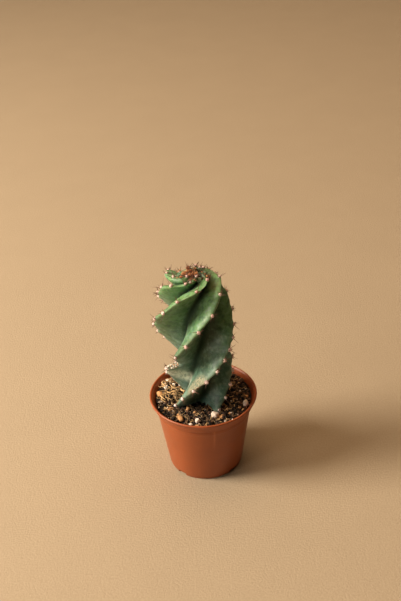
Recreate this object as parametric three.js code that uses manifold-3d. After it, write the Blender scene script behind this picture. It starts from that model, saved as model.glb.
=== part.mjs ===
// A young spiral cactus in a small plastic nursery pot.
// Millimetres, +Z up. The origin is the centre of the pot's base, on the ground.
// The photographed side faces -Y.

import * as THREE from 'three';
import { mergeVertices } from 'three/addons/utils/BufferGeometryUtils.js';
import Module from 'manifold-3d';

const wasm = await Module();
wasm.setup();

// Pot
const potHeight = 42.3;
const rimRadius = 27.5;
const collarRadius = 25.4;
const wallTopRadius = 24.4;
const footRadius = 19;
const collarHeight = 5.8;
const wall = 1.0;
const lipWidth = 1.5;
const footLift = 1.8;
const footWidth = 2;
const potSides = 48;
const notchAngles = [-133, -43, 47, 137];
const notchWidth = 5;
const notchDepth = 3.2;
const drainHoleRadius = 2.2;
const drainCircle = 10.5;

// Potting mix
const soilHeight = 39.2;
const soilDome = 0.3;
const soilRoughness = 0.45;
const soilRadius = 24.5;
const fitGap = 0.35;
const soilSides = 36;
const looseGrains = 14;

// Grains that stand out on the mix: place on the surface, then the half-width
const largeGrains = [
  { x: 5.2, y: -15.2, size: 1.9 },
  { x: -3.5, y: -20.4, size: 1.4 },
  { x: 21.4, y: -8.6, size: 1.8 },
  { x: 8.8, y: -17.8, size: 1.0 },
  { x: -6.8, y: -22.0, size: 1.0 },
  { x: -12.3, y: -17.4, size: 1.7 },
  { x: -13.2, y: -14.0, size: 1.1 },
  { x: -8.1, y: -9.2, size: 1.1 },
  { x: -22.8, y: 3.4, size: 1.7 },
  { x: -18.2, y: 14.2, size: 1.3 },
  { x: -20.2, y: 10.8, size: 1.1 },
  { x: -18.6, y: 7.8, size: 1.2 },
  { x: -15.0, y: 9.6, size: 1.0 },
  { x: -11.4, y: 9.6, size: 1.0 },
  { x: -22.0, y: -3.2, size: 1.1 },
  { x: 16.4, y: 12.4, size: 1.3 },
  { x: 12.6, y: 17.4, size: 1.1 },
  { x: 20.2, y: 3.4, size: 1.0 },
];

// Stem stations from the buried root to the growing tip: height of the rib crests, crest
// radius, groove radius, how far the groove lies under the crests, how far the ribs have
// turned about the stem in degrees, half the thickness of a crest, how far the under
// flanks bulge, and where the groove lies between one rib, at 0, and the next, at 1
const stations = [
  { height: 15, crest: 3, groove: 3, sink: 0, turn: -52, half: 1, bulge: 0, share: 0.66 },
  { height: 20, crest: 4.2, groove: 3.8, sink: 0, turn: -38, half: 1.2, bulge: 0, share: 0.66 },
  { height: 27, crest: 8.4, groove: 4, sink: 0, turn: -20, half: 1.4, bulge: 0, share: 0.66 },
  { height: 34, crest: 13.8, groove: 3.9, sink: 0, turn: 0, half: 1.6, bulge: 0, share: 0.66 },
  { height: 44, crest: 15.3, groove: 4.4, sink: 0, turn: 29, half: 1.9, bulge: 0.25, share: 0.68 },
  { height: 55, crest: 16.8, groove: 5, sink: 0, turn: 61, half: 2.5, bulge: 0.65, share: 0.68 },
  { height: 66, crest: 18.5, groove: 5.2, sink: 0, turn: 96, half: 2.8, bulge: 0.75, share: 0.66 },
  { height: 78, crest: 19.3, groove: 5.6, sink: 0, turn: 126, half: 2.8, bulge: 0.8, share: 0.62 },
  { height: 90, crest: 19.2, groove: 6.2, sink: 0.6, turn: 153, half: 2.9, bulge: 0.85, share: 0.58 },
  { height: 100, crest: 18.1, groove: 6.4, sink: 2, turn: 182, half: 3, bulge: 0.85, share: 0.57 },
  { height: 110, crest: 14.5, groove: 6, sink: 4.4, turn: 217.5, half: 3, bulge: 0.7, share: 0.6 },
  { height: 113.6, crest: 6.15, groove: 2.6, sink: 2.6, turn: 290, half: 1.7, bulge: 0.2, share: 0.62 },
  { height: 113.9, crest: 1, groove: 0.7, sink: 0.3, turn: 328, half: 0.3, bulge: 0, share: 0.62 },
];

// The five ribs: direction at the soil in degrees, how much longer or shorter the rib is
// than its neighbours at its foot, middle and top, and where its areoles start and how
// far apart they are, along the crest
const ribs = [
  { angle: -16, reach: [-0.3, 0.04, -0.025], firstAreole: 16.2, spacing: 7.3, swell: 0 },
  { angle: 38, reach: [0.0, 0.0, 0.144], firstAreole: 7.8, spacing: 10.1, swell: 0 },
  { angle: 114, reach: [-0.15, -0.03, -0.01], firstAreole: 6.2, spacing: 10.3, swell: 0 },
  { angle: 193, reach: [-0.02, 0.06, -0.22], firstAreole: 9.4, spacing: 8.2, swell: 4.6 },
  { angle: 287, reach: [0.04, -0.08, 0.068], firstAreole: 8.1, spacing: 7.0, swell: 0 },
];
const ribFootHeight = 34;
const ribMiddleHeight = 72;
const ribTopHeight = 113.6;
const leanAtSoil = -1.5;
const leanAtTip = -1.7;
const stemRows = 36;

// More rows of points, between the stations, where the wound's ledge needs them
const ledgeRows = [5.6, 5.72, 5.91, 6.0];

// How wide a crest's shoulder is on each side, and how near to the groove the flank's waist is
const underShoulder = 0.35;
const upperShoulder = 0.9;
const underWaist = 0.5;
const upperWaist = 0.7;
const underSteps = [0, 0.1, 0.3, 0.65];
const upperSteps = [0.62, 0.32, 0.14];

// The old wound on one rib's crest: steep below, over a ledge, and long above
const nick = { rib: 2, height: 65.6, below: 1.8, above: 6, depth: 6.4 };

// Areoles and spines
const areoleRadius = 1.15;
const crownAreoleRadius = 1.0;
const crownStart = 104;
const spinesEach = 3;
const spineRadius = 0.24;
const spineRoot = 0.7;
const shortestSpine = 2.4;
const longestSpine = 4.6;
const tipsAboveSoil = 2.2;
const woolRadius = 3.4;
const woolHeight = 2.2;
const crownTufts = 5;

const degrees = Math.PI / 180;

// A repeatable draw between 0 and 1 for a whole number
function draw(n) {
  const v = Math.sin(n * 12.9898 + 4.1414) * 43758.5453;
  return v - Math.floor(v);
}

// A closed mesh as a solid that can be joined and cut
function toSolid(geometry) {
  geometry.deleteAttribute('normal');
  geometry.deleteAttribute('uv');
  const merged = mergeVertices(geometry, 1e-5);
  return new wasm.Manifold(new wasm.Mesh({
    numProp: 3,
    vertProperties: new Float32Array(merged.attributes.position.array),
    triVerts: new Uint32Array(merged.index.array),
  }));
}

// A solid back to a mesh
function toGeometry(solid) {
  const mesh = solid.getMesh();
  const geometry = new THREE.BufferGeometry();
  geometry.setAttribute('position', new THREE.BufferAttribute(mesh.vertProperties, 3));
  geometry.setIndex(new THREE.BufferAttribute(mesh.triVerts, 1));
  geometry.computeVertexNormals();
  return geometry;
}

// A closed skin from rings of points, with a pole at each end
function skin(rings, firstPole, lastPole) {
  const count = rings[0].length;
  const points = [firstPole, ...rings.flat(), lastPole];
  const faces = [];
  const at = (row, i) => 1 + row * count + (i % count);
  for (let i = 0; i < count; i += 1) {
    faces.push(0, at(0, i + 1), at(0, i));
    for (let row = 0; row < rings.length - 1; row += 1) {
      const [a, b, c, d] = [at(row, i), at(row, i + 1), at(row + 1, i + 1), at(row + 1, i)];
      if (points[a].distanceTo(points[c]) < points[b].distanceTo(points[d])) {
        faces.push(a, b, c, a, c, d);
      } else {
        faces.push(a, b, d, b, c, d);
      }
    }
    faces.push(points.length - 1, at(rings.length - 1, i), at(rings.length - 1, i + 1));
  }
  const geometry = new THREE.BufferGeometry().setFromPoints(points);
  geometry.setIndex(faces);
  return geometry;
}

// Pot: one lathe-turned wall with a flared collar, standing on four short feet

const underCollar = potHeight - collarHeight;
const wallSlope = (wallTopRadius - footRadius) / underCollar;
const floorTop = footLift + wall;

function potProfile() {
  const outline = [
    [0, footLift],
    [footRadius - footWidth - 0.4, footLift],
    [footRadius - footWidth, 0],
    [footRadius - 0.5, 0],
    [footRadius, 0.6],
    [wallTopRadius, underCollar],
    [collarRadius - 0.3, underCollar + 0.2],
    [collarRadius, underCollar + 0.8],
    [rimRadius - 1.1, potHeight - 1.9],
    [rimRadius - 0.15, potHeight - 0.9],
    [rimRadius, potHeight - 0.35],
    [rimRadius - 0.35, potHeight],
    [rimRadius - lipWidth + 0.5, potHeight],
    [rimRadius - lipWidth, potHeight - 0.7],
    [collarRadius - wall, underCollar + 1.2],
    [wallTopRadius - wall, underCollar - 0.8],
    [footRadius - wall + wallSlope * floorTop, floorTop + 0.6],
    [footRadius - wall - 0.6, floorTop],
    [0, floorTop],
  ];
  return outline.map(([r, z]) => new THREE.Vector2(r, z));
}

function upright(geometry) {
  return geometry.rotateX(Math.PI / 2);
}

function makePot() {
  let pot = toSolid(upright(new THREE.LatheGeometry(potProfile(), potSides)));
  for (const angle of notchAngles) {
    const notch = new THREE.BoxGeometry(2 * notchDepth, notchWidth, 2 * footLift);
    notch.translate(footRadius, 0, 0);
    pot = pot.subtract(toSolid(notch.rotateZ(angle * degrees)));
  }
  const holes = notchAngles.map((angle) => [drainCircle, (angle + 45) * degrees]);
  for (const [out, angle] of [...holes, [0, 0]]) {
    const hole = upright(new THREE.CylinderGeometry(drainHoleRadius, drainHoleRadius, 6 * wall, 16));
    hole.translate(out * Math.cos(angle), out * Math.sin(angle), footLift);
    pot = pot.subtract(toSolid(hole));
  }
  return toGeometry(pot);
}

// Stem: five ribs that climb round it as right-handed spirals

const lastStation = stations.length - 1;
const soilStation = 3;

// A station value at any place between the stations, on a smooth curve through them
function smooth(key, s) {
  const i = Math.min(Math.floor(s), lastStation - 1);
  const u = s - i;
  const value = (n) => stations[Math.min(Math.max(n, 0), lastStation)][key];
  const [a, b, c, d] = [value(i - 1), value(i), value(i + 1), value(i + 2)];
  return b + 0.5 * u * (c - a + u * (2 * a - 5 * b + 4 * c - d + u * (3 * (b - c) + d - a)));
}

// A rib's own length against the shared crest radius
function ribReach(rib, height) {
  const [foot, middle, top] = rib.reach;
  if (height < ribMiddleHeight) {
    const u = THREE.MathUtils.smoothstep(height, ribFootHeight, ribMiddleHeight);
    return 1 + foot + (middle - foot) * u;
  }
  const u = THREE.MathUtils.smoothstep(height, ribMiddleHeight, ribTopHeight);
  return 1 + middle + (top - middle) * u;
}

// The stem leans a little to the left as it rises
function stemCentre(height) {
  const u = THREE.MathUtils.clamp((height - ribFootHeight) / (ribTopHeight - ribFootHeight), 0, 1);
  return leanAtSoil + (leanAtTip - leanAtSoil) * u;
}

function crestRadius(rib, s) {
  const height = smooth('height', s);
  const groove = smooth('groove', s);
  let radius = Math.max(smooth('crest', s) * ribReach(ribs[rib], height), groove * 1.04);
  if (rib === nick.rib) {
    const length = height < nick.height ? nick.below : nick.above;
    radius -= nick.depth * Math.exp(-(((height - nick.height) / length) ** 2));
  }
  return radius;
}

function crestPoint(rib, s) {
  const height = smooth('height', s);
  const angle = (ribs[rib].angle + smooth('turn', s)) * degrees;
  const radius = crestRadius(rib, s);
  return new THREE.Vector3(stemCentre(height) + radius * Math.cos(angle), radius * Math.sin(angle), height);
}

// One level ring of the stem: from each crest down its under flank into the groove and up
// the hollow upper flank of the next rib
function stemRing(s, clearance) {
  const height = smooth('height', s);
  const grooveRadius = smooth('groove', s) + clearance;
  const sunk = smooth('sink', s);
  const turn = smooth('turn', s);
  const ring = [];
  const add = (point, depth) => {
    ring.push(new THREE.Vector3(point.x + stemCentre(height), point.y, height - sunk * depth));
  };
  ribs.forEach((rib, i) => {
    const next = (i + 1) % ribs.length;
    const gap = (ribs[next].angle - rib.angle + 360) % 360;
    const angle = (rib.angle + gap * smooth('share', s) + turn) * degrees;
    const groove = new THREE.Vector2(Math.cos(angle), Math.sin(angle)).multiplyScalar(grooveRadius);
    const under = flank(i, s, 1, groove, clearance);
    const upper = flank(next, s, -1, groove, clearance);
    underSteps.forEach((u) => add(under.getPoint(u), u * u));
    add(groove, 1);
    upperSteps.forEach((u) => add(upper.getPoint(u), u * u));
  });
  return ring;
}

// A flank as a Bezier curve: it leaves the rounded crest sideways and runs down to the groove,
// bulging on the under side
function flank(i, s, side, groove, clearance) {
  const radius = crestRadius(i, s) + clearance;
  const angle = (ribs[i].angle + smooth('turn', s)) * degrees;
  const out = new THREE.Vector2(Math.cos(angle), Math.sin(angle));
  const across = new THREE.Vector2(-out.y * side, out.x * side);
  const half = smooth('half', s) + clearance;
  const crest = out.clone().multiplyScalar(radius);
  const isUnder = side > 0;
  const shoulder = crest.clone().addScaledVector(across, half * (isUnder ? underShoulder : upperShoulder));
  const waist = shoulder.clone().lerp(groove, isUnder ? underWaist : upperWaist);
  waist.addScaledVector(across, isUnder ? smooth('bulge', s) : 0);
  return new THREE.CubicBezierCurve(crest, shoulder, waist, groove);
}

function stemSkin(clearance) {
  const places = [...ledgeRows];
  for (let row = 0; row < stemRows; row += 1) {
    places.push((row / (stemRows - 1)) * lastStation);
  }
  places.sort((a, b) => a - b);
  const rings = places.map((s) => stemRing(s, clearance));
  const foot = new THREE.Vector3(stemCentre(0), 0, stations[0].height - 1.2 - clearance);
  const tip = new THREE.Vector3(stemCentre(ribTopHeight), 0, stations[lastStation].height + 0.1);
  return skin(rings, foot, tip);
}

// Areoles stand on the crests, evenly spaced along each one
function areoles() {
  const places = [];
  const steps = 600;
  ribs.forEach((rib, i) => {
    let along = 0;
    let count = 0;
    let next = rib.firstAreole;
    let previous = crestPoint(i, soilStation);
    for (let k = 1; k <= steps; k += 1) {
      const s = soilStation + ((lastStation - soilStation) * k) / steps;
      const point = crestPoint(i, s);
      along += point.distanceTo(previous);
      previous = point;
      if (along >= next && s < lastStation - 0.7) {
        if (point.z > soilHeight + 1) {
          places.push({ rib: i, s, point });
        }
        count += 1;
        next = rib.firstAreole + rib.spacing * count + rib.swell * Math.sin((count * Math.PI) / 6);
      }
    }
  });
  return places;
}

// The way an areole faces: level on the sides of the stem, upward on the crown
function outwardAt(rib, s) {
  const point = crestPoint(rib, s);
  const height = smooth('height', s);
  const level = new THREE.Vector3(point.x - stemCentre(height), point.y, 0).normalize();
  const rise = THREE.MathUtils.smoothstep(height, 96, ribTopHeight);
  return level.multiplyScalar(1 - 0.75 * rise).add(new THREE.Vector3(0, 0, 0.15 + rise)).normalize();
}

// A slim three-sided spine from below the surface out to its tip
function spine(root, direction, length) {
  const cone = new THREE.ConeGeometry(spineRadius, length + spineRoot, 3);
  cone.translate(0, (length + spineRoot) / 2 - spineRoot, 0);
  const turn = new THREE.Quaternion().setFromUnitVectors(new THREE.Vector3(0, 1, 0), direction);
  cone.applyQuaternion(turn);
  return cone.translate(root.x, root.y, root.z);
}

function spineDirection(outward, turn, spread) {
  const side = new THREE.Vector3(0, 0, 1).cross(outward).normalize();
  const up = outward.clone().cross(side);
  const direction = outward.clone().multiplyScalar(Math.cos(spread));
  direction.addScaledVector(side, Math.sin(spread) * Math.cos(turn));
  direction.addScaledVector(up, Math.sin(spread) * Math.sin(turn));
  return direction.normalize();
}

function addSpines(stem, root, outward, seed, scale) {
  let body = stem;
  for (let j = 0; j < spinesEach; j += 1) {
    const n = seed * spinesEach + j;
    const turn = ((j + 0.5 * draw(n)) / spinesEach) * 2 * Math.PI;
    const spread = (38 + 30 * draw(n + 0.3)) * degrees;
    const length = (shortestSpine + (longestSpine - shortestSpine) * draw(n + 0.6)) * scale;
    const direction = spineDirection(outward, turn, spread);
    if (root.z + direction.z * length < soilHeight + tipsAboveSoil) {
      direction.z = Math.abs(direction.z) + 0.2;
      direction.normalize();
    }
    body = body.add(toSolid(spine(root, direction, length)));
  }
  return body;
}

// The largest body of a solid: scraps cut loose are left out
function largest(solid) {
  const bodies = solid.decompose();
  bodies.sort((a, b) => b.volume() - a.volume());
  return bodies[0];
}

function addAreole(stem, centre, outward, radius) {
  const pad = new THREE.OctahedronGeometry(radius, 0);
  const turn = new THREE.Quaternion().setFromUnitVectors(new THREE.Vector3(0, 1, 0), outward);
  pad.scale(1, 0.75, 1);
  pad.applyQuaternion(turn);
  pad.translate(centre.x, centre.y, centre.z);
  return stem.add(toSolid(pad));
}

function makeCactus() {
  let stem = toSolid(stemSkin(0));
  areoles().forEach((areole, n) => {
    const outward = outwardAt(areole.rib, areole.s);
    const crown = THREE.MathUtils.smoothstep(areole.point.z, crownStart, ribTopHeight);
    const radius = THREE.MathUtils.lerp(areoleRadius, crownAreoleRadius, crown);
    stem = addAreole(stem, areole.point, outward, radius);
    stem = addSpines(stem, areole.point, outward, n, 1);
  });
  return toGeometry(addCrown(stem));
}

// The growing tip: a low cushion of wool with a ring of upright young spines
function addCrown(stem) {
  const cushion = new THREE.SphereGeometry(woolRadius, 8, 6);
  cushion.rotateX(Math.PI / 2);
  cushion.scale(1, 1, woolHeight / woolRadius);
  cushion.translate(stemCentre(ribTopHeight), 0, ribTopHeight - 0.9);
  let crown = stem.add(toSolid(cushion));
  const up = new THREE.Vector3(0, 0, 1);
  for (let k = 0; k < crownTufts; k += 1) {
    const turn = (k / crownTufts) * 2 * Math.PI;
    const out = woolRadius * 0.5;
    const x = stemCentre(ribTopHeight) + out * Math.cos(turn);
    const root = new THREE.Vector3(x, out * Math.sin(turn), ribTopHeight + 0.5);
    crown = addSpines(crown, root, up, 500 + k, 0.8);
  }
  return crown;
}

// Potting mix: it fills the pot to just under the rim, rough on top, with a hole that
// the stem's foot stands in

function soilTop(x, y) {
  const r = Math.hypot(x, y) / wallTopRadius;
  const rough = Math.sin(x * 1.7 + 3 * Math.sin(y * 0.9)) * Math.cos(y * 1.9 - 2 * Math.sin(x * 0.7));
  return soilHeight + soilDome * (1 - r * r) + soilRoughness * rough;
}

function besidePotWall(z) {
  return footRadius - wall + wallSlope * z - fitGap;
}

function soilSkin() {
  const bottom = floorTop + fitGap;
  const ring = (radius, height) => {
    const points = [];
    for (let i = 0; i < soilSides; i += 1) {
      const angle = (i / soilSides) * 2 * Math.PI;
      const x = radius * Math.cos(angle);
      const y = radius * Math.sin(angle);
      points.push(new THREE.Vector3(x, y, height ?? soilTop(x, y)));
    }
    return points;
  };
  const rings = [ring(besidePotWall(bottom) - 1.2, bottom)];
  rings.push(ring(besidePotWall(bottom + 1), bottom + 1));
  rings.push(ring(wallTopRadius - wall - fitGap - 0.15, underCollar - 0.9));
  rings.push(ring(collarRadius - wall - fitGap - 0.1, underCollar + 1.2));
  for (const share of [1, 0.93, 0.84, 0.74, 0.62, 0.45]) {
    rings.push(ring(soilRadius * share));
  }
  return skin(rings, new THREE.Vector3(0, 0, bottom), new THREE.Vector3(0, 0, soilTop(0, 0)));
}

// A grain sunk into the surface, kept off the pot's wall
function grain(wantedX, wantedY, size, seed) {
  const limit = soilRadius - size;
  const pull = Math.min(1, limit / Math.hypot(wantedX, wantedY));
  const x = wantedX * pull;
  const y = wantedY * pull;
  const lump = new THREE.IcosahedronGeometry(size, 0);
  lump.scale(1, 0.7 + 0.3 * draw(seed), 0.6 + 0.2 * draw(seed + 0.4));
  lump.rotateZ(draw(seed + 0.7) * Math.PI);
  lump.rotateX((draw(seed + 0.2) - 0.5) * 0.8);
  return lump.translate(x, y, soilTop(x, y) + 0.15 * size);
}

function makePottingMix() {
  let mix = toSolid(soilSkin());
  largeGrains.forEach((g, n) => {
    mix = mix.add(toSolid(grain(g.x, g.y, g.size, 900 + n)));
  });
  for (let n = 0; n < looseGrains; n += 1) {
    const radius = 12 + 9.6 * Math.sqrt(draw(700 + n));
    const angle = n * 2.39996;
    const size = 0.7 + 0.6 * draw(800 + n);
    mix = mix.add(toSolid(grain(radius * Math.cos(angle), radius * Math.sin(angle), size, 1000 + n)));
  }
  mix = mix.subtract(toSolid(stemSkin(fitGap + 0.15)));
  for (const { point } of areoles().filter((areole) => areole.point.z < soilHeight + 4)) {
    const room = new THREE.IcosahedronGeometry(areoleRadius + 2 * fitGap, 0);
    mix = mix.subtract(toSolid(room.translate(point.x, point.y, point.z)));
  }
  return toGeometry(largest(mix));
}

function piece(name, geometry, color, roughness) {
  const material = new THREE.MeshStandardMaterial({ color, roughness, metalness: 0 });
  const mesh = new THREE.Mesh(geometry, material);
  mesh.name = name;
  return mesh;
}

const group = new THREE.Group();
group.add(piece('pot', makePot(), '#a8593a', 0.45));
group.add(piece('potting_mix', makePottingMix(), '#3a2a1e', 0.95));
group.add(piece('cactus', makeCactus(), '#52684a', 0.6));

export default group;
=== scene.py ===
"""A young spiral cactus in a small terracotta-coloured nursery pot."""

import math

import bmesh
import bpy
import numpy as np
from mathutils import Matrix, Vector, noise


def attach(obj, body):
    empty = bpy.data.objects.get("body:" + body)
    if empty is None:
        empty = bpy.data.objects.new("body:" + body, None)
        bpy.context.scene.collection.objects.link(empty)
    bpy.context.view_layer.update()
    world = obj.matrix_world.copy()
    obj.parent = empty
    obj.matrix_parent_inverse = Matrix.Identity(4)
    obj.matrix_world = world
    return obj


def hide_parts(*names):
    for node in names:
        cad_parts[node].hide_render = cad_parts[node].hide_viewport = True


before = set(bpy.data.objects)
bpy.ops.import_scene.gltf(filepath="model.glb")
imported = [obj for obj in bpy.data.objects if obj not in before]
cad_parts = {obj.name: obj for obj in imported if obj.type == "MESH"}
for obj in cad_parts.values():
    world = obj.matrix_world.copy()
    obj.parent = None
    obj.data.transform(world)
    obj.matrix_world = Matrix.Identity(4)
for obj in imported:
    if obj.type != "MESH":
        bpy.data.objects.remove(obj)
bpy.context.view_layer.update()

# Sizes are in millimetres until a mesh is made
MM = 0.001

# Camera, solved from the pot's ellipses in the photograph
CAMERA_PLACE = (0.94, -405.59, 358.38)
CAMERA_PITCH = 32.69
CAMERA_ROLL = -2.8
FOCAL_PIXELS = 1000
LONG_SIDE_PIXELS = 601
SENSOR = 36.0

# Pot
POT_HEIGHT = 42.3
RIM_RADIUS = 27.5
COLLAR_RADIUS = 25.4
WALL_TOP_RADIUS = 24.4
FOOT_RADIUS = 19.0
COLLAR_HEIGHT = 5.8
WALL = 1.0
FOOT_LIFT = 1.8
POT_SIDES = 192
SHARP_ANGLE = 38
NOTCH_ANGLES = (-133, -43, 47, 137)
NOTCH_WIDTH = 5.0
NOTCH_DEPTH = 3.2
DRAIN_RADIUS = 2.2
DRAIN_CIRCLE = 10.5
SEAM_ANGLE = -79
RIDGE_HEIGHT = 33.6
RIDGE = 0.1
COLLAR_FOOT = POT_HEIGHT - COLLAR_HEIGHT
WALL_SLOPE = (WALL_TOP_RADIUS - FOOT_RADIUS) / COLLAR_FOOT

# Potting mix
SOIL_HEIGHT = 39.2
SOIL_RADIUS = 24.6
HEAP = (-15.5, 6.5)
HEAP_RADIUS = 6.5
HEAP_HEIGHT = 1.2
FIT_GAP = 0.35
SOIL_SIDES = 240
SOIL_RINGS = 90
STEM_FOOT = 7.5

# How many small things lie on the mix
CRUMBS = 820
GRITS = 130
CHIPS = 170
STRAWS = 62
FIBRES = 430
CHIP_LIFT = 0.35

# Stem stations: height of the crests, crest radius, groove radius, how far the groove lies
# under the crests, turn of the ribs in degrees, half-width of a crest, bulge of the under
# flank, and where the groove lies between one rib, at 0, and the next, at 1
STATIONS = (
    (15, 3.0, 3.0, 0, -52, 1.0, 0, 0.66),
    (20, 4.2, 3.8, 0, -38, 1.2, 0, 0.66),
    (27, 8.4, 4.0, 0, -20, 1.4, 0, 0.66),
    (34, 13.8, 3.9, 0, 0, 1.6, 0, 0.66),
    (44, 15.3, 4.4, 0, 29, 1.9, 0.25, 0.68),
    (55, 16.8, 5.0, 0, 61, 2.5, 0.65, 0.68),
    (66, 18.5, 5.2, 0, 96, 2.8, 0.75, 0.66),
    (78, 19.3, 5.6, 0, 126, 2.8, 0.8, 0.62),
    (90, 19.2, 6.2, 0.6, 153, 2.9, 0.85, 0.58),
    (100, 18.1, 6.4, 2.0, 182, 3.0, 0.85, 0.57),
    (110, 14.5, 6.0, 4.4, 217.5, 3.0, 0.7, 0.6),
    (113.6, 6.15, 2.6, 2.6, 290, 1.7, 0.2, 0.62),
    (113.9, 1.0, 0.7, 0.3, 328, 0.3, 0, 0.62),
)
HEIGHT, CREST, GROOVE, SINK, TURN, HALF, BULGE, SHARE = range(8)
LAST = len(STATIONS) - 1
SOIL_STATION = 3

# Ribs: direction at the soil, reach at the foot, middle and top, first areole, spacing, swell
RIBS = (
    (-16, (-0.3, 0.04, -0.025), 16.2, 7.3, 0),
    (38, (0.0, 0.0, 0.144), 7.8, 10.1, 0),
    (114, (-0.15, -0.03, -0.01), 6.2, 10.3, 0),
    (193, (-0.02, 0.06, -0.22), 9.4, 8.2, 4.6),
    (287, (0.04, -0.08, 0.068), 8.1, 7.0, 0),
)
RIB_FOOT = 34
RIB_MIDDLE = 72
RIB_TOP = 113.6
LEAN_AT_SOIL = -1.5
LEAN_AT_TIP = -1.7

# Section of a flank: how wide it is beside the crest, and how far down the flank its waist lies
UNDER_SHOULDER = 0.6
UNDER_WAIST = 0.5
UPPER_SHOULDER = 1.0
UPPER_WAIST = 0.68

# Ribs are fuller and rounder at their old foot. What rounding takes off a crest is added first
OLD_BELOW = 46
YOUNG_ABOVE = 64
FOOT_SHOULDER = 1.0
ROUNDING = 1.5
FOOT_ROUNDING = 1.5
LOST_TO_ROUNDING = 0.37

# One rib's under flank swells into a lobe near the tip
FULL_RIB = 4
FULL_FROM = 99
FULL_TO = 106
FULL_SHOULDER = 1.3
FULL_WAIST = 0.22
FULL_BULGE = 2.4

# Detail of the skin: points along each flank, and rings below the soil and above it
UNDER_POINTS = 18
UPPER_POINTS = 13
RIB_POINTS = UNDER_POINTS + UPPER_POINTS
BURIED_RINGS = 10
STEM_RINGS = 385

# Painted shadow on the hollows beside the grooves, cast by the crest before them: how far it reaches up the
# flank, and where it fades out below
SHADOW_REACH = 9
WOUND_SHADOW_REACH = 17
SHADOW_FROM = 50
SHADOW_TO = 66

# The old wound on one rib's crest: steep below, over a ledge, and long above
NICK_RIB = 2
NICK_HEIGHT = 65.6
NICK_BELOW = 1.6
NICK_ABOVE = 6
NICK_DEPTH = 6.4
LEDGE_PLACE = (-15.4, -6.3, 65.0)
LEDGE_SIZE = 3.6
SCALES = 95
TAN_FROM = -14.2

# Frosted patches of skin, partly painted bounce light and sheen, patches of painted shade on the foot, and
# dried patches: place, size and strength
FROST_AND_PAINTED_LIGHT = (
    ((-8.2, -6.0, 55), 4.2, 1.3),
    ((-15.0, -5.0, 57), 5.0, 1.3),
    ((-9.5, -9.0, 66), 4.5, 0.35),
    ((-18.0, -4.0, 79.5), 3.6, 0.7),
    ((7.6, -10.5, 101.5), 2.6, 0.8),
    ((8.0, -12.0, 52), 4.0, 0.5),
    ((-9.0, -13.0, 72), 3.5, 0.4),
)
PAINTED_FOOT_SHADE = (((8.0, -14.0, 45), 6.5, 1.0), ((15.0, -9.0, 52), 5.0, 0.7), ((2.0, -9.0, 46), 4.0, 0.8))
DRY = (((8.3, -5.0, 107.5), 3.4, 1.0), ((12.0, -9.0, 96), 2.6, 0.6), ((17.0, -4.0, 62), 3.0, 0.7))

# Areoles and spines, with the young areoles' stations and least distance from older ones
YOUNG_FROM = 10.7
YOUNG_TO = 11.8
YOUNG_CLEAR = 1.6
TUFT_HAIRS = 26
SPINES_EACH = 3
SHORTEST_SPINE = 2.4
LONGEST_SPINE = 4.6
TIPS_ABOVE_SOIL = 2.2

# The heart of rusty wool at the tip
WOOL_CENTRE = (-3.9, -0.8, 113.2)
WOOL_RADIUS = 3.3
WOOL_REACH = 5.0
WOOL_TUFTS = 12
GOLDEN_TURN = 2.39996

# Young knobs between the ribs round the growing tip: centre and radius
KNOBS = (
    (-9.4, 0.6, 110.9, 1.9),
    (-7.0, 2.6, 111.2, 2.3),
    (-6.4, -1.8, 111.6, 1.7),
    (-4.2, 5.0, 111.4, 2.2),
    (-3.4, -3.8, 111.6, 1.5),
    (0.2, 4.6, 111.8, 1.9),
    (1.0, -3.2, 111.6, 1.6),
    (3.2, 2.4, 111.6, 1.9),
    (3.6, -1.0, 111.3, 1.6),
)

# Room
LIGHTS_AIM = 60
SKY_COLOUR = (1.0, 0.7, 0.44)
SKY_STRENGTH = 0.035
FLOOR_REACH = 3000


# Small tools


def draw(n):
    """A repeatable draw between 0 and 1, the same as in the solids."""
    v = math.sin(n * 12.9898 + 4.1414) * 43758.5453
    return v - math.floor(v)


def smoothstep(x, low, high):
    u = np.clip((np.asarray(x, float) - low) / (high - low), 0, 1)
    return u * u * (3 - 2 * u)


def unit(v):
    v = np.asarray(v, float)
    return v / np.maximum(np.linalg.norm(v, axis=-1, keepdims=True), 1e-9)


def cloud(points, size, seed=0.0):
    """Smooth noise between about -1 and 1 at each point, with features of the given size."""
    shift = Vector((seed * 7.13, seed * 3.71, seed * 5.17))
    return np.array([noise.noise(Vector(p) / size + shift) for p in points])


class Bag:
    """Collects many small closed shapes into one mesh, with one value for each point."""

    def __init__(self):
        self.points, self.faces, self.tones, self.count = [], [], [], 0

    def add(self, points, faces, tone):
        points = np.asarray(points, float)
        self.points.append(points)
        self.faces += [[self.count + i for i in face] for face in faces]
        self.tones.append(np.broadcast_to(np.asarray(tone, float), (len(points),)))
        self.count += len(points)

    def build(self, name, material, slot, node, smooth=True):
        obj = build(name, np.concatenate(self.points), self.faces, material, node, smooth)
        set_values(obj, "tone", np.concatenate(self.tones))


def placed(name, data):
    obj = bpy.data.objects.new(name, data)
    bpy.context.scene.collection.objects.link(obj)
    return obj


def build(name, points, faces, material, node, smooth=True):
    """A new piece from points in millimetres, riding on the body that holds everything."""
    mesh = bpy.data.meshes.new(name)
    mesh.from_pydata((np.asarray(points) * MM).tolist(), [], faces)
    mesh.update()
    obj = placed(name, mesh)
    mesh.polygons.foreach_set("use_smooth", [smooth] * len(mesh.polygons))
    mesh.materials.append(material)
    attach(obj, "root")
    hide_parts(node)
    return obj


def set_values(obj, name, values):
    attribute = obj.data.attributes.new(name, "FLOAT", "POINT")
    attribute.data.foreach_set("value", np.asarray(values, np.float32))


def ring_faces(rows, count):
    """Quads between rows of points, and a fan to a pole at each end. The poles come last."""
    faces = []
    first, last = rows * count, rows * count + 1
    for i in range(count):
        j = (i + 1) % count
        faces.append((first, j, i))
        for row in range(rows - 1):
            a, b = row * count, (row + 1) * count
            faces.append((a + i, a + j, b + j, b + i))
        faces.append((last, (rows - 1) * count + i, (rows - 1) * count + j))
    return faces


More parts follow.
